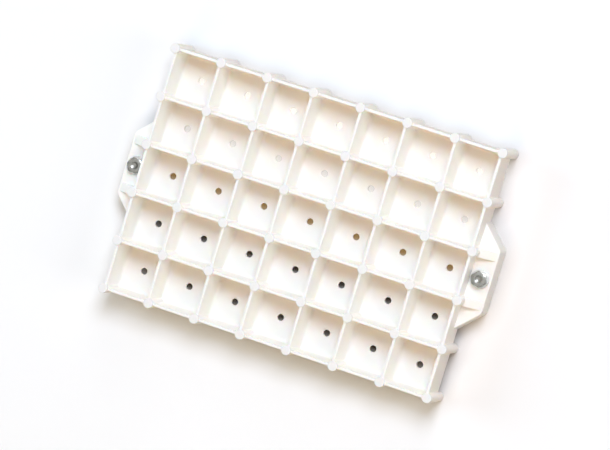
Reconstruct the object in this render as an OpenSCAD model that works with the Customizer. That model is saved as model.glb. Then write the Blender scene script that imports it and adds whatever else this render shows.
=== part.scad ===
// Moulded plug tray: square open cells between round posts, a drain hole in every cell floor,
// and a hollow lug with a hex bolt at the middle of each short side.
// Millimetres. +Z is up, +X runs along the long side, and the origin lies on the ground
// under the middle of the tray.

/* [Cells] */
// Number of cells along the long side
columns = 7; // [4:1:10]
// Number of cells along the short side, odd so that a middle row carries the lugs
rows = 5; // [3:2:9]
// Distance from one post to the next
cell_pitch = 38; // [32:0.5:60]
// Depth of a cell, from the wall tops down to the floor
cell_depth = 26.2; // [20:0.1:45]
// Thickness of the floor
floor_t = 2.5; // [1.5:0.1:5]
// Diameter of the drain hole in the middle of each cell
drain_d = 5.2; // [3:0.1:12]

/* [Walls and posts] */
// Thickness of a wall at its top edge
wall_t = 2.2; // [1.6:0.1:3]
// Thickness that the mould draft adds to each cell face at its foot
wall_draft = 0.4; // [0:0.05:0.6]
// How far the cross walls stand off their line of posts, to one side and the other in turn
wall_stagger = 0.95; // [0:0.05:1.2]
// Bevel along the top edges of the walls and posts
edge_bevel = 0.35; // [0.1:0.05:0.6]
// Diameter of the round post where walls cross
post_d = 7.6; // [6:0.1:12]
// How far the posts stand above the wall tops
post_proud = 1.8; // [0.8:0.1:4]
// How far the posts reach below the floor as feet
foot_h = 6.5; // [3:0.5:20]
// Bevel round the bottom of a foot
foot_bevel = 0.6; // [0.2:0.1:1.5]

/* [Lugs] */
// Height of a lug's plate above the ground
lug_h = 19; // [17:0.5:22]
// Thickness of a lug's plate
lug_t = 3; // [2:0.1:5]
// Thickness of the skirt round a lug
skirt_t = 2.2; // [1.5:0.1:3]
// Angle between a lug's flared ends and the direction it reaches out in
flare_angle = 45; // [30:1:60]
// Radius of a lug's two outer corners
lug_corner_r = 6; // [3:0.5:10]
// Plate left outside the washer's rim
lug_rim = 1.65; // [0.5:0.05:4]
// Plate left outside each gusset on the outer face
lug_shoulder = 2; // [0.5:0.1:6]
// Rise of a gusset against its post
gusset_h = 9.5; // [4:0.5:11]
// How much narrower than its post a gusset is, on each side
gusset_inset = 0.3; // [0.1:0.05:1]

/* [Fasteners] */
// Diameter of the bolt over its thread
bolt_d = 6.35; // [5:0.05:8]
// Length of thread that stands out below the locknut
thread_out = 3.5; // [1:0.1:5]
// Width across the flats of the bolt head and the locknut
hex_af = 11.1; // [9:0.1:14]
// Height of the bolt head
head_h = 4; // [3:0.1:6]
// Diameter of the dimple in the bolt head
dimple_d = 5.6; // [3:0.1:8]
// Depth of the dimple in the bolt head
dimple_depth = 0.9; // [0.3:0.1:1.5]
// Outside diameter of the flat washer
washer_od = 14.3; // [11.5:0.1:18]
// Thickness of the flat washer
washer_t = 1.6; // [1:0.1:2.5]
// Height of the locknut's hexagon
nut_hex_h = 5.5; // [4:0.1:7]
// Height of the locknut's round collar
nut_collar_h = 2.4; // [1.6:0.1:3]
// Wall of the nylon ring in the locknut
insert_wall = 1.1; // [0.8:0.05:1.4]
// Height of the nylon ring in the locknut
insert_h = 2; // [1.2:0.1:2.4]
// Wall of the locknut's collar round the nylon ring
collar_wall = 0.75; // [0.5:0.05:1]

/* [Clearances] */
// Gap between the washer and the tray wall
washer_gap = 0.7; // [0.2:0.05:2]
// Gap between the locknut's flats and the skirt
nut_gap = 0.4; // [0.2:0.05:2]
// Gap round the bolt in the lug and in the washer
bolt_gap = 0.3; // [0.1:0.05:0.6]
// Gap between the bolt's thread and what is screwed on it
thread_gap = 0.05; // [0.02:0.01:0.1]
// Gap along the curved seams of the moulding
seam = 0.02; // [0.01:0.01:0.1]

/* [Hidden] */
post_r = post_d / 2;
floor_z = foot_h + floor_t;
tray_h = floor_z + cell_depth + post_proud;
half_x = columns * cell_pitch / 2;
half_y = rows * cell_pitch / 2;
wall_foot_t = wall_t + 2 * wall_draft;
// Long walls end on flats as wide as a wall's foot, this far from the post's centre.
post_flat = sqrt(post_r * post_r - wall_foot_t * wall_foot_t / 4);
long_panel_l = cell_pitch - 2 * post_flat;

hex_corner_d = hex_af / cos(30);
head_chamfer = (hex_corner_d - hex_af) / 2;
insert_od = bolt_d + 2 * insert_wall;
collar_d = insert_od + 2 * collar_wall;
nut_h = nut_hex_h + nut_collar_h;
bolt_l = washer_t + lug_t + nut_h + thread_out;
// Height and overhang of the lip that holds the nylon ring in the collar.
collar_lip = 0.4;
// Bevel at the bolt's point.
bolt_point = 0.8;
// Turn of each bolt head about its axis.
left_head_turn = 26;
right_head_turn = 18;

// The lug reaches just far enough to seat the washer above and the locknut below.
bolt_to_wall = washer_gap + max(washer_od, hex_corner_d) / 2;
bolt_to_edge = max(washer_od / 2 + lug_rim, max(hex_af, collar_d) / 2 + nut_gap + skirt_t);
// Outer face of the last cross walls, which the lugs stand against.
end_x = half_x - wall_stagger + wall_t / 2;
bolt_x = end_x + bolt_to_wall;
lug_edge_x = bolt_x + bolt_to_edge;
gusset_w = post_d - 2 * gusset_inset;
lug_face_half = cell_pitch / 2 + gusset_w / 2 + lug_shoulder;
hollow_z = lug_h - lug_t;

// Straight steps round a lug's corner, and how far a cut runs past the face it opens.
arc_steps = 12;
cut = 0.5;
$fn = 64;

plastic = [0.96, 0.95, 0.92];
zinc = [0.66, 0.67, 0.65];
nylon = [0.82, 0.86, 0.90];

function line_x(i) = i * cell_pitch - half_x;
function line_y(j) = j * cell_pitch - half_y;

// Offset of a cross wall from its line of posts, mirrored about the middle of the tray.
function stagger(i) =
    let (from_end = min(i, columns - i))
    let (half = sign(columns - 2 * i))
    half * (from_end % 2 == 0 ? 1 : -1) * wall_stagger;

// Distance in Y from a post's centre to the flat a cross wall ends on, at x off the post's line.
// The flat is the chord across the post that is as wide as the wall's foot.
function cross_flat(i, x) =
    let (low = stagger(i) - wall_foot_t / 2)
    let (high = stagger(i) + wall_foot_t / 2)
    let (low_y = sqrt(post_r * post_r - low * low))
    let (high_y = sqrt(post_r * post_r - high * high))
    low_y + (x - low) * (high_y - low_y) / wall_foot_t;

// Posts

// Block that trims a post to the flats its walls end on; a side with no wall stays round.
module post_limits(i, j, grow) {
    past = post_d;
    west = i > 0 ? post_flat + grow : past;
    east = i < columns ? post_flat + grow : past;
    flat_west = cross_flat(i, -west) + grow;
    flat_east = cross_flat(i, east) + grow;
    translate([0, 0, -cut])
        linear_extrude(height = tray_h + 2 * cut)
            polygon([
                [-west, j > 0 ? -flat_west : -past],
                [east, j > 0 ? -flat_east : -past],
                [east, j < rows ? flat_east : past],
                [-west, j < rows ? flat_west : past]
            ]);
}

// Full round of a post, bevelled at its top and at its foot.
module post_round() {
    rotate_extrude()
        polygon([
            [0, 0],
            [post_r - foot_bevel, 0],
            [post_r, foot_bevel],
            [post_r, tray_h - edge_bevel],
            [post_r - edge_bevel, tray_h],
            [0, tray_h]
        ]);
}

module post(i, j) {
    translate([line_x(i), line_y(j), 0])
        intersection() {
            post_round();
            post_limits(i, j, 0);
        }
}

// Hole that lets a post through the floor.
module post_passage(i, j) {
    translate([line_x(i), line_y(j), 0])
        intersection() {
            translate([0, 0, -cut])
                cylinder(r = post_r + seam, h = tray_h + 2 * cut);
            post_limits(i, j, seam);
        }
}

module post_row(j) {
    color(plastic)
        for (i = [0:columns])
            post(i, j);
}

// Floor

module floor_plate() {
    color(plastic)
        difference() {
            translate([-end_x, -half_y - wall_t / 2, foot_h])
                cube([2 * end_x, 2 * half_y + wall_t, floor_t]);
            for (i = [0:columns], j = [0:rows])
                post_passage(i, j);
            for (i = [1:columns], j = [1:rows])
                translate([line_x(i) - cell_pitch / 2, line_y(j) - cell_pitch / 2, foot_h - cut])
                    cylinder(d = drain_d, h = floor_t + 2 * cut);
        }
}

// Walls

// Cross-section of a wall: drafted faces towards the cells, bevelled top edges.
module wall_section(draft_low, draft_high) {
    polygon([
        [-wall_t / 2 - draft_low, 0],
        [wall_t / 2 + draft_high, 0],
        [wall_t / 2, cell_depth - edge_bevel],
        [wall_t / 2 - edge_bevel, cell_depth],
        [-wall_t / 2 + edge_bevel, cell_depth],
        [-wall_t / 2, cell_depth - edge_bevel]
    ]);
}

// Wall panels along X on one line, with an upright face where the line is an outer one.
module long_wall(j) {
    color(plastic)
        for (i = [1:columns])
            translate([line_x(i) - cell_pitch / 2, line_y(j), floor_z])
                rotate([90, 0, 90])
                    linear_extrude(height = long_panel_l, center = true)
                        wall_section(j > 0 ? wall_draft : 0, j < rows ? wall_draft : 0);
}

// Plan of a panel between the flats of two posts that stand in Y, half a pitch off each way.
module cross_panel_plan(i) {
    reach = post_r;
    west = cell_pitch / 2 - cross_flat(i, -reach);
    east = cell_pitch / 2 - cross_flat(i, reach);
    polygon([[-reach, -west], [reach, -east], [reach, east], [-reach, west]]);
}

// Wall panels along Y on one line, with an upright face where the line is an outer one.
module cross_wall(i) {
    color(plastic)
        for (j = [1:rows])
            translate([line_x(i), line_y(j) - cell_pitch / 2, floor_z])
                intersection() {
                    translate([stagger(i), 0, 0])
                        rotate([90, 0, 0])
                            linear_extrude(height = cell_pitch, center = true)
                                wall_section(i > 0 ? wall_draft : 0, i < columns ? wall_draft : 0);
                    translate([0, 0, -cut])
                        linear_extrude(height = cell_depth + 2 * cut)
                            cross_panel_plan(i);
                }
}

// Lugs, drawn on the +X side

// Half width of the lug at x, with its whole outline drawn in by inset.
function flare_y(x, inset) =
    lug_face_half + ((lug_edge_x - x) * sin(flare_angle) - inset) / cos(flare_angle);

// Points round the lug's outer corner on the +Y side, from the outer face to the flare.
function corner_arc(inset) =
    let (r = lug_corner_r - inset)
    let (x = lug_edge_x - inset)
    let (y = flare_y(x, inset) - r * tan((90 - flare_angle) / 2))
    [for (k = [0:arc_steps])
        let (a = (90 - flare_angle) * k / arc_steps)
        [x - r + r * cos(a), y + r * sin(a)]];

// Plan of a lug from the line inner_x outwards, drawn in by inset.
module lug_plan(inner_x, inset) {
    upper = concat(corner_arc(inset), [[inner_x, flare_y(inner_x, inset)]]);
    lower = [for (k = [len(upper) - 1:-1:0]) [upper[k][0], -upper[k][1]]];
    polygon(concat(upper, lower));
}

// Sloping rib from a post down to the rim of the plate.
module gusset() {
    rotate([90, 0, 0])
        linear_extrude(height = gusset_w, center = true)
            polygon([
                [end_x, lug_h - lug_t / 2],
                [lug_edge_x - lug_rim, lug_h - lug_t / 2],
                [lug_edge_x - lug_rim, lug_h],
                [end_x, lug_h + gusset_h]
            ]);
}

// Hollow lug: plate, skirt down to the ground and two gussets, open below.
module lug() {
    color(plastic)
        difference() {
            union() {
                linear_extrude(height = lug_h)
                    lug_plan(end_x, 0);
                for (side = [-1, 1])
                    translate([0, side * cell_pitch / 2, 0])
                        gusset();
            }
            translate([0, 0, -cut])
                linear_extrude(height = hollow_z + cut)
                    lug_plan(end_x - cut, skirt_t);
            translate([bolt_x, 0, hollow_z - cut])
                cylinder(d = bolt_d + 2 * bolt_gap, h = lug_t + 2 * cut);
            for (side = [-1, 1])
                translate([half_x, side * cell_pitch / 2, -cut])
                    cylinder(r = post_r + seam, h = tray_h + 2 * cut);
        }
}

module right_lug() {
    lug();
}

module left_lug() {
    mirror([1, 0, 0])
        lug();
}

// Fasteners, each drawn on the Z axis and set on a lug by on_lug

module on_lug(side, z) {
    translate([side * bolt_x, 0, z])
        children();
}

// Hexagon with its corners turned down at the ends that the flags name.
module hex_block(h, bevel_low, bevel_high) {
    low = bevel_low ? hex_af / 2 : hex_corner_d / 2;
    high = bevel_high ? hex_af / 2 : hex_corner_d / 2;
    slope = head_chamfer * tan(30);
    intersection() {
        cylinder(d = hex_corner_d, h = h, $fn = 6);
        rotate_extrude()
            polygon([
                [0, 0],
                [low, 0],
                [hex_corner_d / 2, slope],
                [hex_corner_d / 2, h - slope],
                [high, h],
                [0, h]
            ]);
    }
}

// Hex bolt with its bearing face at z = 0: dimpled head above, shank with a bevelled point below.
module bolt(head_turn) {
    dimple_r = (dimple_d * dimple_d / 4 + dimple_depth * dimple_depth) / (2 * dimple_depth);
    color(zinc)
        difference() {
            union() {
                rotate([0, 0, head_turn])
                    hex_block(head_h, false, true);
                rotate_extrude()
                    polygon([
                        [0, -bolt_l],
                        [bolt_d / 2 - bolt_point, -bolt_l],
                        [bolt_d / 2, -bolt_l + bolt_point],
                        [bolt_d / 2, head_h / 2],
                        [0, head_h / 2]
                    ]);
            }
            translate([0, 0, head_h - dimple_depth + dimple_r])
                sphere(r = dimple_r);
        }
}

// Flat washer standing on z = 0.
module washer() {
    color(zinc)
        difference() {
            cylinder(d = washer_od, h = washer_t);
            translate([0, 0, -cut])
                cylinder(d = bolt_d + 2 * bolt_gap, h = washer_t + 2 * cut);
        }
}

// Locknut hanging from z = 0, with its collar and the seat for the nylon ring below.
module locknut() {
    color(zinc)
        difference() {
            union() {
                translate([0, 0, -nut_hex_h])
                    rotate([0, 0, 30])
                        hex_block(nut_hex_h, true, true);
                translate([0, 0, -nut_h])
                    cylinder(d = collar_d, h = nut_h - cut);
            }
            translate([0, 0, -nut_h - cut])
                cylinder(d = bolt_d + 2 * thread_gap, h = nut_h + 2 * cut);
            translate([0, 0, -nut_h + collar_lip])
                cylinder(d = insert_od + 2 * seam, h = insert_h);
            translate([0, 0, -nut_h - cut])
                cylinder(d = insert_od - 2 * collar_lip, h = collar_lip + 2 * cut);
        }
}

// Nylon ring in the locknut's collar, resting on the collar's lip.
module nylon_ring() {
    color(nylon)
        translate([0, 0, -nut_h + collar_lip])
            difference() {
                cylinder(d = insert_od, h = insert_h);
                translate([0, 0, -cut])
                    cylinder(d = bolt_d + 2 * thread_gap, h = insert_h + 2 * cut);
            }
}

floor_plate();
for (j = [0:rows])
    post_row(j);
for (j = [0:rows])
    long_wall(j);
for (i = [0:columns])
    cross_wall(i);
left_lug();
right_lug();
on_lug(-1, lug_h + washer_t) bolt(left_head_turn);  // left_bolt
on_lug(1, lug_h + washer_t) bolt(right_head_turn);  // right_bolt
on_lug(-1, lug_h) washer();  // left_washer
on_lug(1, lug_h) washer();  // right_washer
on_lug(-1, hollow_z) locknut();  // left_locknut
on_lug(1, hollow_z) locknut();  // right_locknut
on_lug(-1, hollow_z) nylon_ring();  // left_nylon_ring
on_lug(1, hollow_z) nylon_ring();  // right_nylon_ring
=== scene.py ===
"""Looks of a moulded plug tray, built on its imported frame.

Every length is in metres in the frame's axes: X along the tray, Y across it, Z up from the feet.
"""

import logging
import math
from dataclasses import dataclass
from enum import Enum
from typing import Mapping, Optional, Sequence, Union

import bmesh
import bpy
from mathutils import Matrix, Vector


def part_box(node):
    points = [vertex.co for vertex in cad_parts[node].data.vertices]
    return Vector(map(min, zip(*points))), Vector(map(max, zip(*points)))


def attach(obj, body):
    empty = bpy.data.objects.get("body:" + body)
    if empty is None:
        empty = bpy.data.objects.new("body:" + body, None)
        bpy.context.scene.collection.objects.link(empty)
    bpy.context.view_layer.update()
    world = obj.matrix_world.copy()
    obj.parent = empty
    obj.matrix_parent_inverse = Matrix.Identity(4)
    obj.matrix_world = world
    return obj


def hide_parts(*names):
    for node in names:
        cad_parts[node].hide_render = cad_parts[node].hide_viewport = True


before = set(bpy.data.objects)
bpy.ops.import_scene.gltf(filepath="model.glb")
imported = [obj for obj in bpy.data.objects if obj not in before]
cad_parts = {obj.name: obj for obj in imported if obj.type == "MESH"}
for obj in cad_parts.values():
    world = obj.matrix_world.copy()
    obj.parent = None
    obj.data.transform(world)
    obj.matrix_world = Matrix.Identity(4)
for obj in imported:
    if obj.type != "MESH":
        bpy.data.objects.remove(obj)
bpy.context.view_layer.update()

LOG = logging.getLogger("plug_tray")
MM = 0.001
# Small and usual overrun of a cutting helper past the face that it opens
PAST = 0.02 * MM
CLEAR = 1.0 * MM
BODY = "root"

Point = tuple[float, float]
Triple = tuple[float, float, float]
Ring = list[Triple]
Colour = tuple[float, float, float, float]
Object = bpy.types.Object
Material = bpy.types.Material
Node = bpy.types.Node
Socket = bpy.types.NodeSocket
Tree = bpy.types.NodeTree
Value = Union[Socket, float, int, bool, Sequence[float]]
Inputs = Mapping[Union[str, int], object]


class Slot(Enum):
    """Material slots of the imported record."""

    PLASTIC = "white_plastic"
    STEEL = "zinc_steel"
    NYLON = "nylon"


class Side(Enum):
    """Short side of the tray that carries a lug: its name, and the turn of its bolt head in degrees."""

    LEFT = ("left", 26.0)
    RIGHT = ("right", 18.0)

    @property
    def label(self) -> str:
        """Name that starts the frame's nodes on this side."""
        return self.value[0]

    @property
    def head_turn(self) -> float:
        """Turn of the bolt head in radians."""
        return math.radians(self.value[1])


# Outlines and skins


def arc(centre: Point, radius: float, start: float, end: float, steps: int) -> list[Point]:
    """Points on an arc of a circle from one angle in radians to another, both ends included."""
    angles = [start + (end - start) * i / steps for i in range(steps + 1)]
    return [(centre[0] + radius * math.cos(a), centre[1] + radius * math.sin(a)) for a in angles]


def turn(points: Sequence[Point], angle: float) -> list[Point]:
    """Turns flat points about the origin by an angle in radians."""
    c, s = math.cos(angle), math.sin(angle)
    return [(c * x - s * y, s * x + c * y) for x, y in points]


def lift(outline: Sequence[Point], z: float) -> Ring:
    """Places a flat outline at one height."""
    return [(x, y, z) for x, y in outline]


def quarter(steps: int) -> list[float]:
    """Angles of a quarter turn, both ends included."""
    return [math.pi / 2 * i / steps for i in range(steps + 1)]


def lower_round(radius: float, base: float, steps: int) -> list[Point]:
    """Inset and height along a round above a base, from the full inset to none."""
    return [(radius * (1 - math.sin(a)), base + radius * (1 - math.cos(a))) for a in quarter(steps)]


def upper_round(radius: float, top: float, steps: int) -> list[Point]:
    """Inset and height along a round below a top, from no inset to the full one."""
    return [(radius * (1 - math.cos(a)), top - radius * (1 - math.sin(a))) for a in quarter(steps)]


def revolve(profile: Sequence[Point], steps: int, centre: Point = (0.0, 0.0)) -> list[Ring]:
    """Turns a profile of radius and height about an upright axis, one ring for each point."""
    plan = arc((0.0, 0.0), 1.0, 0.0, 2 * math.pi, steps)[:-1]
    return [[(centre[0] + r * x, centre[1] + r * y, z) for x, y in plan] for r, z in profile]


def stand(name: str, data: bpy.types.ID) -> Object:
    """Puts object data into the scene.

    Args:
        name: Name of the object.
        data: Mesh, light or camera.

    Returns:
        The object, at the origin.
    """
    thing = bpy.data.objects.new(name, data)
    bpy.context.scene.collection.objects.link(thing)
    return thing


def skin(name: str, rings: Sequence[Ring], hoop: bool = False) -> Object:
    """Skins equal rings into one closed mesh object.

    Args:
        name: Name of the object and its mesh.
        rings: Rings with the same number of points.
        hoop: Joins the last ring to the first, as in a washer, in place of two end caps.

    Returns:
        The object, in the scene and at the origin.
    """
    build = bmesh.new()
    rows = [[build.verts.new(point) for point in ring] for ring in rings]
    pairs = list(zip(rows, rows[1:]))
    if hoop:
        pairs.append((rows[-1], rows[0]))
    else:
        build.faces.new(list(reversed(rows[0])))
        build.faces.new(rows[-1])
    for low, high in pairs:
        for i, here in enumerate(low):
            ahead = (i + 1) % len(low)
            build.faces.new((here, low[ahead], high[ahead], high[i]))
    bmesh.ops.recalc_face_normals(build, faces=build.faces)
    mesh = bpy.data.meshes.new(name)
    build.to_mesh(mesh)
    build.free()
    return stand(name, mesh)


def drop(tools: Sequence[Object]) -> None:
    """Removes helper meshes, and the objects that hold them with them."""
    for tool in tools:
        bpy.data.meshes.remove(tool.data)


def settle(piece: Object) -> None:
    """Turns a piece with live modifiers into a plain mesh.

    Args:
        piece: Object to settle.
    """
    graph = bpy.context.evaluated_depsgraph_get()
    graph.update()
    mesh = bpy.data.meshes.new_from_object(piece.evaluated_get(graph))
    mesh.name = piece.name
    piece.modifiers.clear()
    piece.data = mesh


def smooth(piece: Object, crease: float = 32.0) -> None:
    """Shades a piece smooth between creases, with flat faces kept flat.

    Args:
        piece: Mesh object to shade.
        crease: Angle in degrees from which an edge stays sharp.
    """
    piece.data.shade_smooth()
    piece.data.set_sharp_from_angle(angle=math.radians(crease))
    weight = piece.modifiers.new("flat_faces", "WEIGHTED_NORMAL")
    weight.keep_sharp = True
    settle(piece)


# Node trees


class NodeSheet:
    """Adds and links the nodes of one tree."""

    def __init__(self, tree: Tree) -> None:
        """Keeps the tree that the nodes go into."""
        self.tree = tree

    def feed(self, socket: Socket, value: Union[Value, Sequence[Socket]]) -> None:
        """Links a socket, or several for a socket that takes more, or sets a plain value.

        Args:
            socket: Input to fill.
            value: A socket, a list of sockets or a value.
        """
        if isinstance(value, Socket):
            self.tree.links.new(value, socket)
        elif isinstance(value, list):
            for source in value:
                self.tree.links.new(source, socket)
        else:
            socket.default_value = value

    def add(self, kind: str, inputs: Optional[Inputs] = None, **settings: object) -> Node:
        """Adds a node, sets its properties and fills its inputs.

        Args:
            kind: Type name of the node.
            inputs: Sockets or values by input name or number.
            settings: Properties of the node.

        Returns:
            The new node.
        """
        node = self.tree.nodes.new(kind)
        for key, setting in settings.items():
            setattr(node, key, setting)
        for key, value in (inputs or {}).items():
            self.feed(node.inputs[key], value)
        return node

    def calc(self, operation: str, first: Value, second: Value = 0.0) -> Socket:
        """Adds a Math node on two values and returns its result."""
        return self.add("ShaderNodeMath", {0: first, 1: second}, operation=operation).outputs[0]

    def ramp(self, value: Value, start: float, end: float, to: Point = (0.0, 1.0)) -> Socket:
        """Spreads a value between start and end over a range, held at its ends."""
        settings = {0: value, 1: start, 2: end, 3: to[0], 4: to[1]}
        return self.add("ShaderNodeMapRange", settings).outputs[0]

    def blend(self, mask: Value, first: Value, second: Value) -> Socket:
        """Mixes two colours by a mask and returns the result."""
        settings = {"Factor": mask, 6: first, 7: second}
        return self.add("ShaderNodeMix", settings, data_type="RGBA").outputs[2]

    def place(self, source: str = "Object") -> Sequence[Socket]:
        """The X, Y and Z of a texture coordinate."""
        place = self.add("ShaderNodeTexCoord").outputs[source]
        return self.add("ShaderNodeSeparateXYZ", {0: place}).outputs


class Rule:
    """A Geometry Nodes tree with named inputs that makes one mesh."""

    def __init__(self, name: str, **inputs: Sequence[str]) -> None:
        """Starts the tree.

        Args:
            name: Name of the tree.
            inputs: Names of the inputs of each kind, such as Float=["Pitch"].
        """
        self.tree = bpy.data.node_groups.new(name, "GeometryNodeTree")
        self.tree.is_modifier = True
        face = self.tree.interface
        face.new_socket("Geometry", in_out="INPUT", socket_type="NodeSocketGeometry")
        for kind, labels in inputs.items():
            for label in labels:
                face.new_socket(label, in_out="INPUT", socket_type=f"NodeSocket{kind}")
        face.new_socket("Geometry", in_out="OUTPUT", socket_type="NodeSocketGeometry")
        self.sheet = NodeSheet(self.tree)
        self.inputs = self.sheet.add("NodeGroupInput").outputs

    def tool(self, label: str) -> Socket:
        """Geometry of the helper object on an input."""
        info = self.sheet.add("GeometryNodeObjectInfo", {"Object": self.inputs[label]})
        return info.outputs["Geometry"]

    def grid(self, tool: str, columns: Value, rows: Value, stride: float = 1.0) -> Socket:
        """Copies a helper to the points of a grid at the tray's pitch.

        Args:
            tool: Input that holds the helper.
            columns: Points along X.
            rows: Points along Y.
            stride: Pitches from one point to the next along X.

        Returns:
            The copies as one mesh.
        """
        sheet = self.sheet
        spans = []
        for number, step in ((columns, stride), (rows, 1.0)):
            gaps = sheet.calc("SUBTRACT", number, 1.0)
            pitches = sheet.calc("MULTIPLY", gaps, step)
            spans.append(sheet.calc("MULTIPLY", pitches, self.inputs["Pitch"]))
        points = sheet.add(
            "GeometryNodeMeshGrid",
            {"Size X": spans[0], "Size Y": spans[1], "Vertices X": columns, "Vertices Y": rows},
        )
        copies = sheet.add(
            "GeometryNodeInstanceOnPoints",
            {"Points": points.outputs["Mesh"], "Instance": self.tool(tool)},
        )
        return sheet.add("GeometryNodeRealizeInstances", {0: copies.outputs[0]}).outputs[0]

    def moved(self, shape: Socket, **place: Value) -> Socket:
        """Moves or turns a geometry by the inputs of a Transform node."""
        return self.sheet.add("GeometryNodeTransform", {"Geometry": shape, **place}).outputs[0]

    def boolean(self, operation: str, meshes: Inputs) -> Socket:
        """Combines closed shapes into one closed shape."""
        node = self.sheet.add("GeometryNodeMeshBoolean", meshes, operation=operation, solver="MANIFOLD")
        return node.outputs["Mesh"]

    def joined(self, shapes: list[Socket]) -> Socket:
        """Fuses closed shapes."""
        return self.boolean("UNION", {"Mesh 2": shapes})

    def cut(self, shape: Socket, tools: list[Socket]) -> Socket:
        """Takes closed shapes out of a closed shape."""
        return self.boolean("DIFFERENCE", {"Mesh 1": shape, "Mesh 2": tools})

    def finish(self, shape: Socket, material: Optional[Socket] = None) -> None:
        """Ends the tree in Realize Instances and Set Material.

        Args:
            shape: Finished geometry.
            material: Socket of the material, or nothing for a helper.
        """
        real = self.sheet.add("GeometryNodeRealizeInstances", {0: shape}).outputs[0]
        if material is not None:
            given = {"Geometry": real, "Material": material}
            real = self.sheet.add("GeometryNodeSetMaterial", given).outputs[0]
        self.sheet.add("NodeGroupOutput", {"Geometry": real})

    def make(self, name: str, values: Mapping[str, object]) -> Object:
        """Runs the tree on a new object and keeps the plain mesh.

        Args:
            name: Name of the object.
            values: Value of each named input.

        Returns:
            The object without its modifier.
        """
        piece = stand(name, bpy.data.meshes.new(name))
        modifier = piece.modifiers.new(self.tree.name, "NODES")
        modifier.node_group = self.tree
        for item in self.tree.interface.items_tree:
            if item.in_out == "INPUT" and item.name in values:
                modifier[item.identifier] = values[item.name]
        settle(piece)
        return piece


# Finishes

PATCH_DETAIL = 4.0
PATCH_RANGE = (0.3, 0.7)
GRAIN_DETAIL = 3.0
FLECK_REACH = 0.22
MASKS = ("Patches", "Grain", "Flecks")


def variation_group() -> Tree:
    """Group that every finish shares: soft patches, fine grain and flecks on Object coordinates.

    Returns:
        The shader node group, with Patch Scale and Grain Scale in and Patches, Grain and Flecks out.
    """
    group = bpy.data.node_groups.new("surface_variation", "ShaderNodeTree")
    for way, labels in (("INPUT", ("Patch Scale", "Grain Scale")), ("OUTPUT", MASKS)):
        for label in labels:
            group.interface.new_socket(label, in_out=way, socket_type="NodeSocketFloat")
    sheet = NodeSheet(group)
    given = sheet.add("NodeGroupInput").outputs
    place = sheet.add("ShaderNodeTexCoord").outputs["Object"]
    by_patch = {"Vector": place, "Scale": given["Patch Scale"]}
    by_grain = {"Vector": place, "Scale": given["Grain Scale"]}
    patch = sheet.add("ShaderNodeTexNoise", {**by_patch, "Detail": PATCH_DETAIL}).outputs[0]
    grain = sheet.add("ShaderNodeTexNoise", {**by_grain, "Detail": GRAIN_DETAIL}).outputs[0]
    fleck = sheet.add("ShaderNodeTexVoronoi", by_grain).outputs["Distance"]
    even = sheet.ramp(patch, *PATCH_RANGE)
    speck = sheet.ramp(fleck, 0.0, FLECK_REACH, (1.0, 0.0))
    sheet.add("NodeGroupOutput", dict(zip(MASKS, (even, grain, speck))))
    return group


class MaterialSheet(NodeSheet):
    """Nodes of one material: a Principled shader and the masks of the shared variation group."""

    def __init__(self, material: Material, group: Tree, patch_scale: float, grain_scale: float) -> None:
        """Places the shader and the group in a new material.

        Args:
            material: The material.
            group: Shared variation group.
            patch_scale: Scale of the soft patches.
            grain_scale: Scale of the grain and the flecks.
        """
        material.use_nodes = True
        super().__init__(material.node_tree)
        self.tree.nodes.clear()
        self.shader = self.add("ShaderNodeBsdfPrincipled")
        self.add("ShaderNodeOutputMaterial", {"Surface": self.shader.outputs[0]})
        scales = {"Patch Scale": patch_scale, "Grain Scale": grain_scale}
        masks = self.add("ShaderNodeGroup", scales, node_tree=group).outputs
        self.patches, self.grain, self.flecks = (masks[label] for label in MASKS)

    def shade(self, inputs: Inputs) -> None:
        """Feeds inputs of the shader."""
        for key, value in inputs.items():
            self.feed(self.shader.inputs[key], value)

    def bump(self, height: Socket, strength: float, depth: float) -> Socket:
        """Normal of a surface with small heights."""
        settings = {"Height": height, "Strength": strength, "Distance": depth}
        return self.add("ShaderNodeBump", settings).outputs[0]


class Finish:
    """A look that feeds the Principled shader of its material."""

    name: str
    patch_scale: float
    grain_scale: float
    smoothest: float
    roughest: float

    def dress(self, sheet: MaterialSheet) -> None:
        """Feeds the shader; every finish has its own way."""
        raise NotImplementedError

    def roughness(self, sheet: MaterialSheet, mask: Socket) -> Socket:
        """Roughness that follows a mask."""
        return sheet.ramp(mask, 0.0, 1.0, (self.smoothest, self.roughest))

    def material(self, group: Tree) -> Material:
        """Builds the material.

        Args:
            group: Shared variation group.

        Returns:
            The material.
        """
        material = bpy.data.materials.new(self.name)
        self.dress(MaterialSheet(material, group, self.patch_scale, self.grain_scale))
        return material


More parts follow.
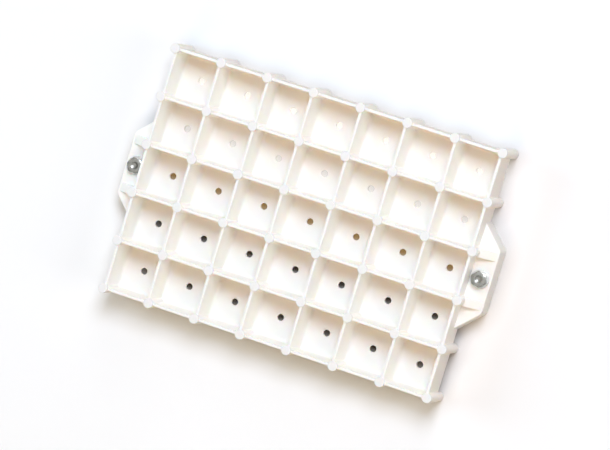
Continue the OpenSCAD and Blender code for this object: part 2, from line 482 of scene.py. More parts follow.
@dataclass(frozen=True)
class MouldedPlastic(Finish):
    """Warm white moulded plastic with faint flow patches, a fine moulded grain and painted shade that greys
    the tops.
    """

    wall_top: float
    post_top: float
    name: str = "warm_white_plastic"
    pale: Colour = (0.985, 0.95, 0.89, 1.0)
    deep: Colour = (0.97, 0.935, 0.875, 1.0)
    # Painted shade: a greyer colour laid on the post tops and, fainter, on the wall tops
    worn: Colour = (0.82, 0.815, 0.80, 1.0)
    patch_scale: float = 22.0
    grain_scale: float = 900.0
    smoothest: float = 0.36
    roughest: float = 0.5
    grain_depth: float = 0.05 * MM
    grain_strength: float = 0.12
    scuff_below: float = 1.2 * MM
    scuff_full: float = 0.1 * MM
    scuff_grain: Point = (0.7, 1.3)
    refraction: float = 1.49
    glow: float = 0.35
    glow_reach: float = 4.0 * MM
    glow_tint: Triple = (1.0, 0.62, 0.34)

    def scuffs(self, sheet: MaterialSheet) -> Socket:
        """Mask of the painted shade on the tops, from faint on the wall tops to full on the post tops,
        broken up by the grain.

        Args:
            sheet: Sheet of the material.

        Returns:
            The mask.
        """
        start, end = self.wall_top - self.scuff_below, self.post_top - self.scuff_full
        raised = sheet.ramp(sheet.place()[2], start, end)
        return sheet.calc("MULTIPLY", raised, sheet.ramp(sheet.grain, 0.0, 1.0, self.scuff_grain))

    def dress(self, sheet: MaterialSheet) -> None:
        """Feeds flow patches, painted shade on the tops, grain and a glow below the surface.

        Args:
            sheet: Sheet of the material.
        """
        clean = sheet.blend(sheet.patches, self.pale, self.deep)
        sheet.shade({
            # Base colour greyed on the tops by painted shade
            "Base Color": sheet.blend(self.scuffs(sheet), clean, self.worn),
            "Roughness": self.roughness(sheet, sheet.patches),
            "Normal": sheet.bump(sheet.grain, self.grain_strength, self.grain_depth),
            "IOR": self.refraction,
            "Subsurface Weight": self.glow,
            "Subsurface Scale": self.glow_reach,
            "Subsurface Radius": self.glow_tint,
        })


@dataclass(frozen=True)
class ZincSteel(Finish):
    """Zinc plated steel with turning marks round the bolt axis and a faint passivated tint."""

    axis_x: float
    name: str = "zinc_plated_steel"
    bright: Colour = (0.43, 0.42, 0.385, 1.0)
    tinted: Colour = (0.3, 0.3, 0.275, 1.0)
    dull: Colour = (0.13, 0.12, 0.1, 1.0)
    speck_share: float = 0.5
    patch_scale: float = 320.0
    grain_scale: float = 2600.0
    smoothest: float = 0.22
    roughest: float = 0.38
    mark_pitch: float = 0.22 * MM
    mark_depth: float = 0.012 * MM
    mark_strength: float = 0.35

    def turning_marks(self, sheet: MaterialSheet) -> Socket:
        """Fine circles round the axis of either bolt, broken up by the grain.

        Args:
            sheet: Sheet of the material.

        Returns:
            Height of the marks.
        """
        x, y = sheet.place()[:2]
        across = sheet.calc("SUBTRACT", sheet.calc("ABSOLUTE", x), self.axis_x)
        square = sheet.calc("MULTIPLY", across, across)
        radius = sheet.calc("SQRT", sheet.calc("ADD", square, sheet.calc("MULTIPLY", y, y)))
        phase = sheet.calc("MULTIPLY", radius, 2 * math.pi / self.mark_pitch)
        wave = sheet.calc("SINE", sheet.calc("ADD", phase, sheet.grain))
        return sheet.calc("ADD", wave, sheet.grain)

    def dress(self, sheet: MaterialSheet) -> None:
        """Feeds the tinted plating, its dull specks and the turning marks.

        Args:
            sheet: Sheet of the material.
        """
        plate = sheet.blend(sheet.patches, self.bright, self.tinted)
        specks = sheet.ramp(sheet.flecks, 0.0, 1.0, (0.0, self.speck_share))
        sheet.shade({
            "Base Color": sheet.blend(specks, plate, self.dull),
            "Roughness": self.roughness(sheet, sheet.patches),
            "Normal": sheet.bump(self.turning_marks(sheet), self.mark_strength, self.mark_depth),
            "Metallic": 1.0,
        })


@dataclass(frozen=True)
class NylonInsert(Finish):
    """Off-white nylon with a waxy, slightly uneven surface."""

    name: str = "waxy_nylon"
    pale: Colour = (0.80, 0.79, 0.72, 1.0)
    deep: Colour = (0.70, 0.68, 0.60, 1.0)
    patch_scale: float = 260.0
    grain_scale: float = 3000.0
    smoothest: float = 0.3
    roughest: float = 0.48
    grain_depth: float = 0.03 * MM
    grain_strength: float = 0.2

    def dress(self, sheet: MaterialSheet) -> None:
        """Feeds the patches and the grain.

        Args:
            sheet: Sheet of the material.
        """
        sheet.shade({
            "Base Color": sheet.blend(sheet.patches, self.pale, self.deep),
            "Roughness": self.roughness(sheet, sheet.grain),
            "Normal": sheet.bump(sheet.grain, self.grain_strength, self.grain_depth),
        })


@dataclass(frozen=True)
class PaleFloor(Finish):
    """Matt pale studio floor that throws back less light than it shows.

    A painted contact shadow darkens and warms it close to what stands on it.
    """

    name: str = "pale_floor"
    pale: Colour = (0.93, 0.93, 0.925, 1.0)
    deep: Colour = (0.915, 0.915, 0.91, 1.0)
    bounce: Colour = (0.58, 0.515, 0.45, 1.0)
    # Colour of the painted contact shadow close to what stands on the floor
    contact: Colour = (0.5, 0.44, 0.38, 1.0)
    contact_reach: float = 15.0 * MM
    sheen: float = 0.2
    patch_scale: float = 6.0
    grain_scale: float = 500.0
    smoothest: float = 0.8
    roughest: float = 0.95

    def dress(self, sheet: MaterialSheet) -> None:
        """Feeds the floor that the camera sees and the one that other rays meet.

        Args:
            sheet: Sheet of the material.
        """
        seen = sheet.add("ShaderNodeLightPath").outputs["Is Camera Ray"]
        # Painted contact shadow: ambient occlusion darkens the seen floor near the tray
        near = sheet.add("ShaderNodeAmbientOcclusion", {"Distance": self.contact_reach}).outputs["AO"]
        clear = sheet.blend(sheet.patches, self.pale, self.deep)
        sheet.shade({
            "Base Color": sheet.blend(seen, self.bounce, sheet.blend(near, self.contact, clear)),
            "Roughness": self.roughness(sheet, sheet.grain),
            "Specular IOR Level": self.sheen,
        })


# Sizes from the frame


def size(node: str) -> Vector:
    """Extent of a frame node on each axis."""
    low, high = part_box(node)
    return Vector(high) - Vector(low)


def middle(node: str) -> Vector:
    """Middle of a frame node's box."""
    low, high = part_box(node)
    return (Vector(low) + Vector(high)) / 2


def count(prefix: str) -> int:
    """Number of frame nodes whose name starts with a prefix."""
    return sum(name.startswith(prefix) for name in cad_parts)


@dataclass(frozen=True)
class TraySizes:
    """Sizes of the cell lattice."""

    columns: int
    rows: int
    pitch: float
    post_top: float
    post_r: float
    wall_top: float
    wall_t: float
    draft: float
    stagger: float
    end_x: float
    side_y: float
    floor_top: float
    floor_under: float

    @classmethod
    def from_frame(cls) -> "TraySizes":
        """Measures the lattice on the frame's nodes.

        Returns:
            The sizes.
        """
        columns = count("cross_wall_") - 1
        rows = count("long_wall_") - 1
        span = middle(f"long_wall_{rows}").y - middle("long_wall_2").y
        pitch = span / (rows - 2)
        post_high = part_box("post_row_1")[1]
        floor_low, floor_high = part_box("floor_plate")
        draft = size("cross_wall_2").x - size("cross_wall_1").x
        return cls(
            columns=columns,
            rows=rows,
            pitch=pitch,
            post_top=post_high[2],
            post_r=post_high[0] - columns * pitch / 2,
            wall_top=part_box("long_wall_1")[1][2],
            wall_t=size("cross_wall_1").x - draft,
            draft=draft,
            stagger=(1 - columns / 2) * pitch - middle("cross_wall_2").x,
            end_x=floor_high[0],
            side_y=floor_high[1],
            floor_top=floor_high[2],
            floor_under=floor_low[2],
        )


@dataclass(frozen=True)
class LugSizes:
    """Sizes of one lug, measured on the right-hand one."""

    wall_x: float
    edge_x: float
    half_width: float
    plate_top: float
    plate_under: float
    bolt_x: float

    @classmethod
    def from_frame(cls) -> "LugSizes":
        """Measures the lug and its fastening on the frame's nodes.

        Returns:
            The sizes.
        """
        low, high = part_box("right_lug")
        return cls(
            wall_x=low[0],
            edge_x=high[0],
            half_width=high[1],
            plate_top=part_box("right_washer")[0][2],
            plate_under=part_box("right_locknut")[1][2],
            bolt_x=middle("right_washer").x,
        )


# Pieces


@dataclass(frozen=True)
class Lug:
    """Hollow lug with splayed skirt, rounded plate edge, bolt hole and two gussets."""

    sizes: LugSizes
    gusset_at: float
    skirt_t: float = 2.2 * MM
    corner_r: float = 6.0 * MM
    splay: float = math.radians(45.0)
    root: float = 0.9 * MM
    edge_round: float = 0.7 * MM
    foot_round: float = 0.3 * MM
    hollow_round: float = 1.2 * MM
    hole_r: float = 3.475 * MM
    hole_round: float = 0.25 * MM
    gusset_w: float = 7.0 * MM
    gusset_rise: float = 9.5 * MM
    gusset_rim: float = 1.65 * MM
    gusset_round: float = 0.6 * MM
    gusset_sink: float = 1.5 * MM
    hollow_back: float = 8.8 * MM
    arc_steps: int = 12
    round_steps: int = 5
    foot_steps: int = 3
    hole_ring: int = 64

    def outline(self, inset: float, inner_x: float) -> list[Point]:
        """Plan of the lug, counter-clockwise.

        Args:
            inset: How far the outline lies inside the outer face.
            inner_x: Where the plan ends towards the tray.

        Returns:
            The outline's points.
        """
        s = self.sizes
        face_half = s.half_width - (s.edge_x - s.wall_x) * math.tan(self.splay)
        corner_y = face_half - self.corner_r * math.tan(self.splay / 2)
        centre = (s.edge_x - self.corner_r, corner_y)
        upper = arc(centre, self.corner_r - inset, 0.0, self.splay, self.arc_steps)
        end_x, end_y = upper[-1]
        upper.append((inner_x, end_y + (end_x - inner_x) * math.tan(self.splay)))
        return upper + [(x, -y) for x, y in reversed(upper)]

    def prism(self, name: str, levels: Sequence[Point], inner_x: float) -> Object:
        """Skins the plan at each inset and height."""
        return skin(name, [lift(self.outline(inset, inner_x), z) for inset, z in levels])

    def body(self) -> Object:
        """Solid body with a rounded plate edge, let into the tray wall.

        Returns:
            The helper object.
        """
        levels = lower_round(self.foot_round, 0.0, self.foot_steps)
        levels += upper_round(self.edge_round, self.sizes.plate_top, self.round_steps)
        return self.prism("lug_body", levels, self.sizes.wall_x - self.root)

    def hollow(self) -> Object:
        """Space under the plate, with a rounded ceiling.

        Returns:
            The helper object.
        """
        levels = [(0.0, -self.skirt_t)]
        levels += upper_round(self.hollow_round, self.sizes.plate_under, self.round_steps)
        inside = [(self.skirt_t + inset, z) for inset, z in levels]
        return self.prism("lug_hollow", inside, self.sizes.wall_x - self.hollow_back)

    def hole(self) -> Object:
        """Bolt hole with broken edges.

        Returns:
            The helper object.
        """
        s = self.sizes
        rim = self.hole_round
        wide = self.hole_r + rim
        profile = [
            (wide, s.plate_under - CLEAR),
            (wide, s.plate_under - PAST),
            (self.hole_r, s.plate_under + rim),
            (self.hole_r, s.plate_top - rim),
            (wide, s.plate_top + PAST),
            (wide, s.plate_top + CLEAR),
        ]
        return skin("lug_hole", revolve(profile, self.hole_ring, (s.bolt_x, 0.0)))

    def gusset(self) -> Object:
        """Sloping gusset on the plate, rounded along its upper edges and centred on y = 0.

        Returns:
            The helper object.
        """
        s = self.sizes
        tip_x = s.edge_x - self.gusset_rim
        slope = self.gusset_rise / (tip_x - s.wall_x)
        back_x = s.wall_x - self.root / 2
        base_z = s.plate_top - self.gusset_sink
        half = self.gusset_w / 2
        rounded = upper_round(self.gusset_round, s.plate_top, self.round_steps)
        edge = [(inset - half, z) for inset, z in rounded]
        rings = []
        for y, tip_z in edge + [(-y, z) for y, z in reversed(edge)]:
            back_z = tip_z + slope * (tip_x - back_x)
            outline = ((back_x, base_z), (tip_x, base_z), (tip_x, tip_z), (back_x, back_z))
            rings.append([(x, y, z) for x, z in outline])
        return skin("lug_gusset", rings)

    def build(self) -> Object:
        """Builds the lug of the right-hand side.

        Returns:
            A helper object that the moulding takes in.
        """
        rule = Rule("lug_rule", Object=("Body", "Hollow", "Hole", "Gusset"), Float=("Gusset Place",))
        parts = [rule.cut(rule.tool("Body"), [rule.tool("Hollow"), rule.tool("Hole")])]
        for sign in (1.0, -1.0):
            y = rule.sheet.calc("MULTIPLY", rule.inputs["Gusset Place"], sign)
            place = rule.sheet.add("ShaderNodeCombineXYZ", {"Y": y}).outputs[0]
            parts.append(rule.moved(rule.tool("Gusset"), Translation=place))
        rule.finish(rule.joined(parts))
        tools = {
            "Body": self.body(),
            "Hollow": self.hollow(),
            "Hole": self.hole(),
            "Gusset": self.gusset(),
        }
        lug = rule.make("lug", {**tools, "Gusset Place": self.gusset_at})
        drop(list(tools.values()))
        return lug


@dataclass(frozen=True)
class TrayMoulding:
    """The one-piece moulding: cells, posts with feet, floor with drains, and a lug at each end."""

    sizes: TraySizes
    lug: Lug
    drain_r: float = 2.6 * MM
    drain_round: float = 0.3 * MM
    post_round: float = 0.45 * MM
    post_fillet: float = 0.4 * MM
    post_lap: float = 0.02 * MM
    floor_fillet: float = 3.0 * MM
    edge_round: float = 0.35 * MM
    under_round: float = 0.3 * MM
    foot_round: float = 0.6 * MM
    post_steps: int = 11
    post_ring: int = 56
    fillet_steps: int = 4
    floor_steps: int = 6
    round_steps: int = 4
    rim_steps: int = 3

    def cell(self, half: Point, grow: float) -> list[Point]:
        """Plan of the free space in one cell, counter-clockwise about its middle.

        The posts are taken a lap too thin here, so that the turned posts cover the cut.

        Args:
            half: Half of the width between the wall faces, along X and along Y.
            grow: How far the space is widened all round.

        Returns:
            The outline's points.
        """
        post_at = self.sizes.pitch / 2
        post_r = self.sizes.post_r - self.post_lap - grow
        fillet = self.post_fillet + max(grow, 0.0)
        sides = [post_at - width - grow + fillet for width in half]
        reaches = [math.sqrt((post_r + fillet) ** 2 - side ** 2) for side in sides]
        leans = [math.atan2(reach, side) for reach, side in zip(reaches, sides)]
        by_x = (half[0] + grow - fillet, post_at - reaches[0])
        by_y = (post_at - reaches[1], half[1] + grow - fillet)
        if sum(leans) > math.pi / 2:
            corner = arc(by_x, fillet, 0.0, leans[0], self.fillet_steps)
            bulge = (math.pi + leans[0], 1.5 * math.pi - leans[1])
            corner += arc((post_at, post_at), post_r, *bulge, self.post_steps)[1:-1]
            corner += arc(by_y, fillet, math.pi / 2 - leans[1], math.pi / 2, self.fillet_steps)
        else:
            # The walls meet short of the post, so one round takes the place of its bulge
            steps = 2 * self.fillet_steps + self.post_steps
            corner = arc((by_x[0], by_y[1]), fillet, 0.0, math.pi / 2, steps)
        upper = corner + [(-x, y) for x, y in reversed(corner)]
        return upper + [(-x, -y) for x, y in upper]

    def drain(self) -> list[Point]:
        """Profile of the drain hole with rounded rims, from below the floor up to its top.

        Returns:
            Radius and height of each ring.
        """
        s = self.sizes
        rim = self.drain_round
        levels = [(rim, s.floor_under - CLEAR)]
        levels += lower_round(rim, s.floor_under - PAST, self.rim_steps)
        levels += upper_round(rim, s.floor_top, self.rim_steps)
        return [(self.drain_r + widen, z) for widen, z in levels]

    def core(self, name: str, widen_x: float) -> Object:
        """Free space of one cell: drain, floor fillet, drafted walls and a rounded mouth.

        Args:
            name: Name of the helper.
            widen_x: How far each cross wall stands back from the cell.

        Returns:
            The helper object.
        """
        s = self.sizes
        half = (s.pitch - s.wall_t) / 2
        at_top = (half + widen_x, half)
        at_floor = (at_top[0] - s.draft, at_top[1] - s.draft)
        rings = revolve(self.drain(), len(self.cell(at_top, 0.0)))
        for inset, z in lower_round(self.floor_fillet, s.floor_top, self.floor_steps):
            rings.append(lift(self.cell(at_floor, -inset), z))
        mouth = upper_round(self.edge_round, s.wall_top, self.round_steps)[:-1]
        mouth += [(self.edge_round, s.wall_top + past) for past in (PAST, 2 * CLEAR)]
        rings += [lift(self.cell(at_top, widen), z) for widen, z in mouth]
        return skin(name, rings)

    def post(self) -> Object:
        """One post from its foot to its top, rounded at both ends.

        Returns:
            The helper object.
        """
        s = self.sizes
        levels = lower_round(self.foot_round, 0.0, self.round_steps)
        levels += upper_round(self.post_round, s.post_top, self.round_steps)
        return skin("post", revolve([(s.post_r - inset, z) for inset, z in levels], self.post_ring))

    def rim(self, inset: float) -> list[Point]:
        """Outer plan of the lattice: straight walls, a bulge at each post and fillets between them.

        Args:
            inset: How far the outline lies inside the outer faces.

        Returns:
            The outline's points, counter-clockwise.
        """
        s = self.sizes
        counts = (s.columns, s.rows)
        lines = [number * s.pitch / 2 for number in counts]
        faces = [outer - line - inset for outer, line in zip((s.end_x, s.side_y), lines)]
        post_r, fillet = s.post_r - self.post_lap - inset, self.post_fillet + inset
        reaches = [math.sqrt((post_r + fillet) ** 2 - (face + fillet) ** 2) for face in faces]
        leans = [math.atan2(reach, face + fillet) for reach, face in zip(reaches, faces)]
        points: list[Point] = []
        for k in range(4):
            here, after = k % 2, (k + 1) % 2
            line, reach, lean = lines[here], reaches[here], leans[here]
            out_x = line + faces[here] + fillet
            start = -lines[after]
            side = arc((out_x, start + reach), fillet, math.pi + lean, math.pi, self.fillet_steps)
            for j in range(1, counts[after] + 1):
                y = start + j * s.pitch
                side += arc((out_x, y - reach), fillet, math.pi, math.pi - lean, self.fillet_steps)
                last = j == counts[after]
                end = math.pi / 2 + leans[after] if last else lean
                side += arc((line, y), post_r, -lean, end, self.post_steps * (2 if last else 1))[1:-1]
                if not last:
                    side += arc((out_x, y + reach), fillet, math.pi + lean, math.pi, self.fillet_steps)
            points += turn(side, k * math.pi / 2)
        return points

    def blank(self) -> Object:
        """Solid block of the lattice up to the wall tops, before the cells are cored out.

        Returns:
            The helper object.
        """
        s = self.sizes
        levels = lower_round(self.under_round, s.floor_under, self.round_steps)
        levels += upper_round(self.edge_round, s.wall_top, self.round_steps)
        return skin("tray_blank", [lift(self.rim(inset), z) for inset, z in levels])

    def rule(self) -> Rule:
        """Tree that cores the blank cell by cell, sets the posts and adds the lugs.

        Returns:
            The finished tree.
        """
        rule = Rule(
            "tray_moulding_rule",
            Int=("Columns", "Rows"),
            Float=("Pitch",),
            Object=("Blank", "Narrow Cell", "Wide Cell", "Post", "Lug"),
            Material=("Plastic",),
        )
        sheet, given = rule.sheet, rule.inputs
        columns, rows = given["Columns"], given["Rows"]
        post_columns, post_rows = (sheet.calc("ADD", number, 1.0) for number in (columns, rows))
        narrow = sheet.calc("DIVIDE", post_columns, 2.0)
        wide = sheet.calc("SUBTRACT", narrow, 1.0)
        cores = [rule.grid("Narrow Cell", narrow, rows, 2.0), rule.grid("Wide Cell", wide, rows, 2.0)]
        cored = rule.cut(rule.tool("Blank"), cores)
        posted = rule.joined([cored, rule.grid("Post", post_columns, post_rows)])
        lug = rule.tool("Lug")
        whole = rule.joined([posted, lug, rule.moved(lug, Rotation=(0.0, 0.0, math.pi))])
        rule.finish(whole, given["Plastic"])
        return rule

    def build(self, plastic: Material) -> Object:
        """Builds the moulding.

        Args:
            plastic: Material of the moulding.

        Returns:
            The finished piece.
        """
        s = self.sizes
        tools = {
            "Blank": self.blank(),
            "Narrow Cell": self.core("narrow_cell", -s.stagger),
            "Wide Cell": self.core("wide_cell", s.stagger),
            "Post": self.post(),
            "Lug": self.lug.build(),
        }
        numbers = {"Columns": s.columns, "Rows": s.rows, "Pitch": s.pitch, "Plastic": plastic}
        tray = self.rule().make("tray_moulding", {**tools, **numbers})
        drop(list(tools.values()))
        smooth(tray)
        return tray

    def dress(self, tray: Object) -> None:
        """Ties the moulding to the frame nodes that it stands for.

        Args:
            tray: Finished moulding.
        """
        prefixes = ("floor_plate", "post_row_", "long_wall_", "cross_wall_")
        nodes = [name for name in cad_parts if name.startswith(prefixes)]
        nodes += [f"{side.label}_lug" for side in Side]
        place_piece(tray, nodes)


def place_piece(piece: Object, nodes: Sequence[str]) -> None:
    """Lets a piece ride on the body and stand for its frame nodes.

    Args:
        piece: Finished piece.
        nodes: Frame nodes that it replaces.
    """
    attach(piece, BODY)
    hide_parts(*nodes)
    LOG.info("%s: %d faces, stands for %d nodes", piece.name, len(piece.data.polygons), len(nodes))


@dataclass(frozen=True)
class Drum:
    """Axis, half width and ends of one node of the frame."""

    axis: Point
    radius: float
    under: float
    top: float


@dataclass(frozen=True)
class FasteningSizes:
    """Sizes of one side's bolt, washer, lock nut and nylon ring."""

    bolt: Drum
    washer: Drum
    nut: Drum
    ring: Drum

    @classmethod
    def from_frame(cls, side: Side) -> "FasteningSizes":
        """Measures the fastening on the frame's nodes.

        Args:
            side: Side of the tray.

        Returns:
            The sizes.
        """
        drums = []
        for name in ("bolt", "washer", "locknut", "nylon_ring"):
            low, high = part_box(f"{side.label}_{name}")
            axis = ((low[0] + high[0]) / 2, (low[1] + high[1]) / 2)
            drums.append(Drum(axis, (high[0] - low[0]) / 2, low[2], high[2]))
        return cls(*drums)


@dataclass(frozen=True)
class Fastening:
    """Hex bolt, flat washer and lock nut of one lug."""

    side: Side
    sizes: FasteningSizes
    bolt_r: float = 3.175 * MM
    thread_pitch: float = 1.27 * MM
    thread_depth: float = 0.62 * MM
    groove_level: float = 1.25
    groove_slope: float = 1.5
    point: float = 0.9 * MM
    bearing_h: float = 0.3 * MM
    bearing_share: float = 0.94
    neck_share: float = 0.96
    corner_trim: float = 0.975
    chamfer: float = math.radians(30.0)
    chamfer_at: float = 0.95
    dimple_r: float = 2.8 * MM
    dimple_depth: float = 0.9 * MM
    dimple_rim: float = 0.3 * MM
    dimple_step: float = 0.08 * MM
    dimple_shares: tuple[float, ...] = (1.0, 0.94, 0.8, 0.55, 0.25)
    washer_round: float = 0.35 * MM
    bore_slack: float = 0.05 * MM
    bore_chamfer: float = 0.4 * MM
    hole_slack: float = 0.3 * MM
    collar_r: float = 5.025 * MM
    collar_flare: float = 0.25 * MM
    collar_neck: float = 0.3 * MM
    collar_roll: float = 0.9 * MM
    lip_w: float = 0.4 * MM
    lip_fall: float = 0.05 * MM
    seam: float = 0.02 * MM
    insert_round: float = 0.25 * MM
    round_steps: int = 4
    ring_steps: int = 96
    thread_steps: int = 8

    def node(self, name: str) -> str:
        """Name with this side in front."""
        return f"{self.side.label}_{name}"

    @property
    def corner_r(self) -> float:
        """Radius at the trimmed corners of a hexagon."""
        return self.sizes.nut.radius / math.cos(math.pi / 6) * self.corner_trim

    def about(self, radius: float, angle: float, z: float) -> Triple:
        """Point at a radius and angle about the bolt axis."""
        x, y = self.sizes.washer.axis
        return (x + radius * math.cos(angle), y + radius * math.sin(angle), z)

    def hex_ring(self, z: float, turn_by: float, cone: float = 0.0) -> Ring:
        """Ring on a hexagon with trimmed corners.

        Args:
            z: Height of the ring, or of the flat end that a chamfer starts from.
            turn_by: Turn of the hexagon in radians.
            cone: 0 for a level ring, 1 or -1 where a chamfer falls away from an upper or a lower end.

        Returns:
            The ring.
        """
        ring = []
        flat_r = self.sizes.nut.radius
        for i in range(self.ring_steps):
            angle = 2 * math.pi * i / self.ring_steps
            off = (angle - turn_by + math.pi / 6) % (math.pi / 3) - math.pi / 6
            radius = min(flat_r / math.cos(off), self.corner_r)
            fall = (radius - flat_r * self.chamfer_at) * math.tan(self.chamfer)
            ring.append(self.about(radius, angle, z - cone * fall))
        return ring

    def turned(self, profile: Sequence[Point]) -> list[Ring]:
        """Round rings about the bolt axis, by radius and height."""
        return revolve(profile, self.ring_steps, self.sizes.washer.axis)

    def thread_ring(self, z: float) -> Ring:
        """Ring across the thread, cut back near the point.

        Args:
            z: Height of the ring.

        Returns:
            The ring.
        """
        ring = []
        cap = self.bolt_r - self.point + (z - self.sizes.bolt.under)
        for i in range(self.ring_steps):
            phase = (z / self.thread_pitch - i / self.ring_steps) % 1.0
            groove = self.groove_level - abs(2 * phase - 1.0) * self.groove_slope
            groove = max(0.0, min(1.0, groove))
            radius = min(self.bolt_r - self.thread_depth * groove, cap)
            ring.append(self.about(radius, 2 * math.pi * i / self.ring_steps, z))
        return ring

    def bolt(self) -> Object:
        """Hex bolt with a rolled thread, a bearing face and a dimpled head.

        Returns:
            The piece.
        """
        s = self.sizes
        seat, length = s.washer.top, s.washer.top - s.bolt.under
        turns = int(length / self.thread_pitch * self.thread_steps)
        rings = [self.thread_ring(s.bolt.under + length * i / turns) for i in range(turns)]
        neck = seat + self.bearing_h
        rings += self.turned([
            (self.bolt_r, seat),
            (s.nut.radius * self.bearing_share, seat),
            (s.nut.radius * self.neck_share, neck),
        ])
        rings.append(self.hex_ring(neck, self.side.head_turn))
        rings.append(self.hex_ring(s.bolt.top, self.side.head_turn, cone=1.0))
        edges = (s.nut.radius * self.chamfer_at, self.dimple_r + self.dimple_rim)
        top = [(radius, s.bolt.top) for radius in edges]
        for share in self.dimple_shares:
            depth = self.dimple_depth * (1 - share ** 2)
            top.append((self.dimple_r * share, s.bolt.top - self.dimple_step - depth))
        return skin(self.node("hex_bolt"), rings + self.turned(top))

    def washer(self) -> Object:
        """Flat washer with the rounded upper edge of a punched part.

        Returns:
            The piece.
        """
        flat, edge = self.sizes.washer, self.washer_round
        inner = self.bolt_r + self.hole_slack
        profile = [(inner, flat.under), (flat.radius - edge / 3, flat.under)]
        profile.append((flat.radius, flat.under + edge / 3))
        rounded = upper_round(edge, flat.top, self.round_steps)
        profile += [(flat.radius - inset, z) for inset, z in rounded]
        profile += [(inner + edge / 2, flat.top), (inner, flat.top - edge / 2)]
        return skin(self.node("flat_washer"), self.turned(profile), hoop=True)

    def nut(self) -> Object:
        """Lock nut: chamfered hexagon and a collar rolled over the nylon ring.

        Returns:
            The piece.
        """
        nut, ring, gap = self.sizes.nut, self.sizes.ring, self.seam
        bore, flat = self.bolt_r + self.bore_slack, nut.radius * self.chamfer_at
        pocket, lip = ring.radius + gap, ring.radius - self.lip_w
        rings = self.turned([
            (bore, nut.top - self.bore_chamfer),
            (bore + self.bore_chamfer, nut.top),
            (flat, nut.top),
        ])
        rings.append(self.hex_ring(nut.top, 0.0, cone=1.0))
        rings.append(self.hex_ring(ring.top, 0.0, cone=-1.0))
        profile = [
            (flat, ring.top),
            (self.collar_r + self.collar_flare, ring.top - gap),
            (self.collar_r, ring.top - self.collar_neck),
        ]
        rolled = upper_round(self.collar_roll, -nut.under, self.round_steps)
        profile += [(self.collar_r - inset, -z) for inset, z in rolled]
        profile += [
            (lip, nut.under + self.lip_fall),
            (lip, ring.under - gap),
            (pocket, ring.under - gap),
            (pocket, ring.top + gap),
            (bore, ring.top + gap),
        ]
        return skin(self.node("lock_nut"), rings + self.turned(profile), hoop=True)

    def insert(self) -> Object:
        """Nylon ring inside the collar, softened along its edges.

        Returns:
            The piece.
        """
        ring, edge = self.sizes.ring, self.insert_round
        inner = self.bolt_r + self.bore_slack
        corners = [(inner, edge), (inner + edge, 0.0), (ring.radius - edge, 0.0), (ring.radius, edge)]
        profile = [(radius, ring.under + rise) for radius, rise in corners]
        profile += [(radius, ring.top - fall) for radius, fall in reversed(corners)]
        return skin(self.node("nylon_insert"), self.turned(profile), hoop=True)

    def build(self, steel: Material, zinc: Material, nylon: Material) -> None:
        """Builds and dresses the four pieces.

        Args:
            steel: Material of the bolt and the nut.
            zinc: Brighter material of the washer.
            nylon: Material of the ring.
        """
        made = (
            (self.bolt(), "bolt", steel, Slot.STEEL),
            (self.washer(), "washer", zinc, Slot.STEEL),
            (self.nut(), "locknut", steel, Slot.STEEL),
            (self.insert(), "nylon_ring", nylon, Slot.NYLON),
        )
        for piece, node, material, slot in made:
            piece.data.materials.append(material)
            smooth(piece)
            place_piece(piece, [self.node(node)])


# Studio


@dataclass(frozen=True)
class Softbox:
    """A rectangular soft light that looks at a point."""

    name: str
    place: Triple
    target: Triple
    width: float
    height: float
    power: float
    colour: Triple
    mirrored: bool = False

    def build(self) -> None:
        """Adds the light to the scene."""
        light = bpy.data.lights.new(self.name, "AREA")
        light.shape = "RECTANGLE"
        light.size, light.size_y = self.width, self.height
        light.energy = self.power
        light.color = self.colour
        lamp = stand(self.name, light)
        aim = Vector(self.target) - Vector(self.place)
        turned = aim.to_track_quat("-Z", "Y").to_matrix().to_4x4()
        lamp.matrix_world = Matrix.Translation(self.place) @ turned
        lamp.visible_camera = False
        lamp.visible_glossy = self.mirrored


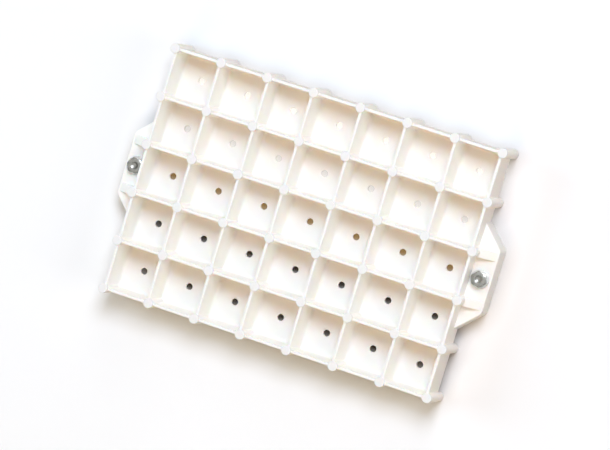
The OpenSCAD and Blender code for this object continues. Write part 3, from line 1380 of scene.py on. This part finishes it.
@dataclass(frozen=True)
class Studio:
    """Pale floor, soft lights and the camera of the photograph."""

    aim: Triple = (0.00487, -0.00116, 0.037)
    distance: float = 2.9153
    azimuth: float = math.radians(17.217)
    elevation: float = math.radians(73.867)
    roll: float = math.radians(-89.554)
    lens: float = 230.3
    far_clip: float = 50.0
    floor_half: float = 6.0
    fill: Colour = (0.03, 0.02, 0.015, 1.0)
    ceiling: Colour = (0.95, 0.95, 0.95, 1.0)
    horizon: Colour = (0.06, 0.06, 0.06, 1.0)
    ceiling_from: Point = (0.3, 0.95)
    backdrop: Colour = (1.0, 1.0, 1.0, 1.0)
    key_side: float = 1.2
    fill_side: float = 1.4
    under_z: float = 5.5 * MM
    under_clear: float = 4.5 * MM
    under_power: float = 0.02
    under_tints: tuple[Triple, ...] = (
        (1.28, 1.39, 1.48),
        (0.95, 1.05, 1.17),
        (0.29, 0.185, 0.03),
    )

    def camera(self) -> None:
        """Places the camera at the photograph's angle."""
        level, rise = math.cos(self.elevation), math.sin(self.elevation)
        back = Vector((level * math.cos(self.azimuth), level * math.sin(self.azimuth), rise))
        upright = (Vector((0.0, 0.0, 1.0)) - back * back.z).normalized()
        across = upright.cross(back)
        up = upright * math.cos(self.roll) - across * math.sin(self.roll)
        right = up.cross(back)
        place = Vector(self.aim) + back * self.distance
        data = bpy.data.cameras.new("photo_camera")
        data.lens = self.lens
        data.clip_end = self.far_clip
        camera = stand("photo_camera", data)
        turned = Matrix((right, up, back)).transposed().to_4x4()
        camera.matrix_world = Matrix.Translation(place) @ turned
        bpy.context.scene.camera = camera

    def floor(self, material: Material) -> None:
        """Lays the floor under the feet.

        Args:
            material: Material of the floor.
        """
        h = self.floor_half
        mesh = bpy.data.meshes.new("studio_floor")
        mesh.from_pydata([(-h, -h, 0.0), (h, -h, 0.0), (h, h, 0.0), (-h, h, 0.0)], [], [(0, 1, 2, 3)])
        mesh.materials.append(material)
        floor = stand("studio_floor", mesh)

    def lights(self) -> None:
        """Hangs the key softbox, pale fills on all four sides and a warm fill on the near side."""
        key, fill = self.key_side, self.fill_side
        boxes = (
            Softbox("key_softbox", (0.52, 1.403, 2.599), self.aim, key, key, 56.5, (0.92, 1.0, 1.16), True),
            Softbox("right_fill", (2.165, 0.0, 1.25), self.aim, fill, fill, 18.6, (1.0, 1.0, 1.03)),
            Softbox("left_fill", (-2.165, 0.0, 1.25), self.aim, fill, fill, 24.0, (0.78, 1.0, 1.2)),
            Softbox("far_fill", (0.0, 2.165, 1.25), self.aim, fill, fill, 12.0, (0.97, 1.0, 0.94)),
            Softbox("near_fill", (0.0, -2.165, 1.25), self.aim, fill, fill, 14.5, (0.77, 1.0, 0.77)),
            Softbox("warm_fill", (0.0, -1.434, 2.048), self.aim, fill, fill, 12.4, (1.0, 0.37, 0.0)),
        )
        for box in boxes:
            box.build()

    def surroundings(self) -> None:
        """Sets a white backdrop, a bright ceiling for what steel mirrors and a faint warm fill."""
        world = bpy.data.worlds.new("studio_surroundings")
        world.use_nodes = True
        sheet = NodeSheet(world.node_tree)
        path = sheet.add("ShaderNodeLightPath").outputs
        overhead = sheet.ramp(sheet.place("Generated")[2], *self.ceiling_from)
        room = sheet.blend(overhead, self.horizon, self.ceiling)
        lit = sheet.blend(path["Is Glossy Ray"], self.fill, room)
        shade = sheet.blend(path["Is Camera Ray"], lit, self.backdrop)
        sheet.feed(world.node_tree.nodes["Background"].inputs["Color"], shade)
        bpy.context.scene.world = world
        bpy.context.scene.view_settings.view_transform = "Standard"

    def under_lights(self, tray: TraySizes) -> None:
        """Lights the floor under the far rows, which the light reaches below the tray.

        Args:
            tray: Sizes of the lattice.
        """
        span = tray.columns * tray.pitch - 2 * self.under_clear
        depth = tray.pitch - 2 * self.under_clear
        for row, tint in enumerate(self.under_tints):
            y = (tray.rows / 2 - row - 0.5) * tray.pitch
            name, place = f"under_row_{row + 1}", (0.0, y, self.under_z)
            Softbox(name, place, (0.0, y, 0.0), span, depth, self.under_power, tint).build()

    def build(self, group: Tree, tray: TraySizes) -> None:
        """Builds the whole studio.

        Args:
            group: Shared variation group for the floor.
            tray: Sizes of the lattice.
        """
        self.camera()
        self.floor(PaleFloor().material(group))
        self.lights()
        self.surroundings()
        self.under_lights(tray)
        LOG.info("studio: floor, lights and camera")


def main() -> None:
    """Builds the tray, its fastenings and the studio in order."""
    logging.basicConfig(level=logging.INFO, format="%(name)s %(message)s")
    group = variation_group()
    tray_sizes = TraySizes.from_frame()
    lug_sizes = LugSizes.from_frame()
    moulding = TrayMoulding(tray_sizes, Lug(lug_sizes, gusset_at=tray_sizes.pitch / 2))
    plastic = MouldedPlastic(tray_sizes.wall_top, tray_sizes.post_top)
    moulding.dress(moulding.build(plastic.material(group)))
    steel = ZincSteel(lug_sizes.bolt_x).material(group)
    zinc = ZincSteel(
        lug_sizes.bolt_x,
        name="bright_zinc",
        bright=(0.82, 0.81, 0.77, 1.0),
        tinted=(0.72, 0.71, 0.67, 1.0),
        dull=(0.5, 0.48, 0.44, 1.0),
        smoothest=0.34,
        roughest=0.5,
    ).material(group)
    nylon = NylonInsert().material(group)
    for side in Side:
        Fastening(side, FasteningSizes.from_frame(side)).build(steel, zinc, nylon)
    Studio().build(group, tray_sizes)


if __name__ == "__main__":
    main()
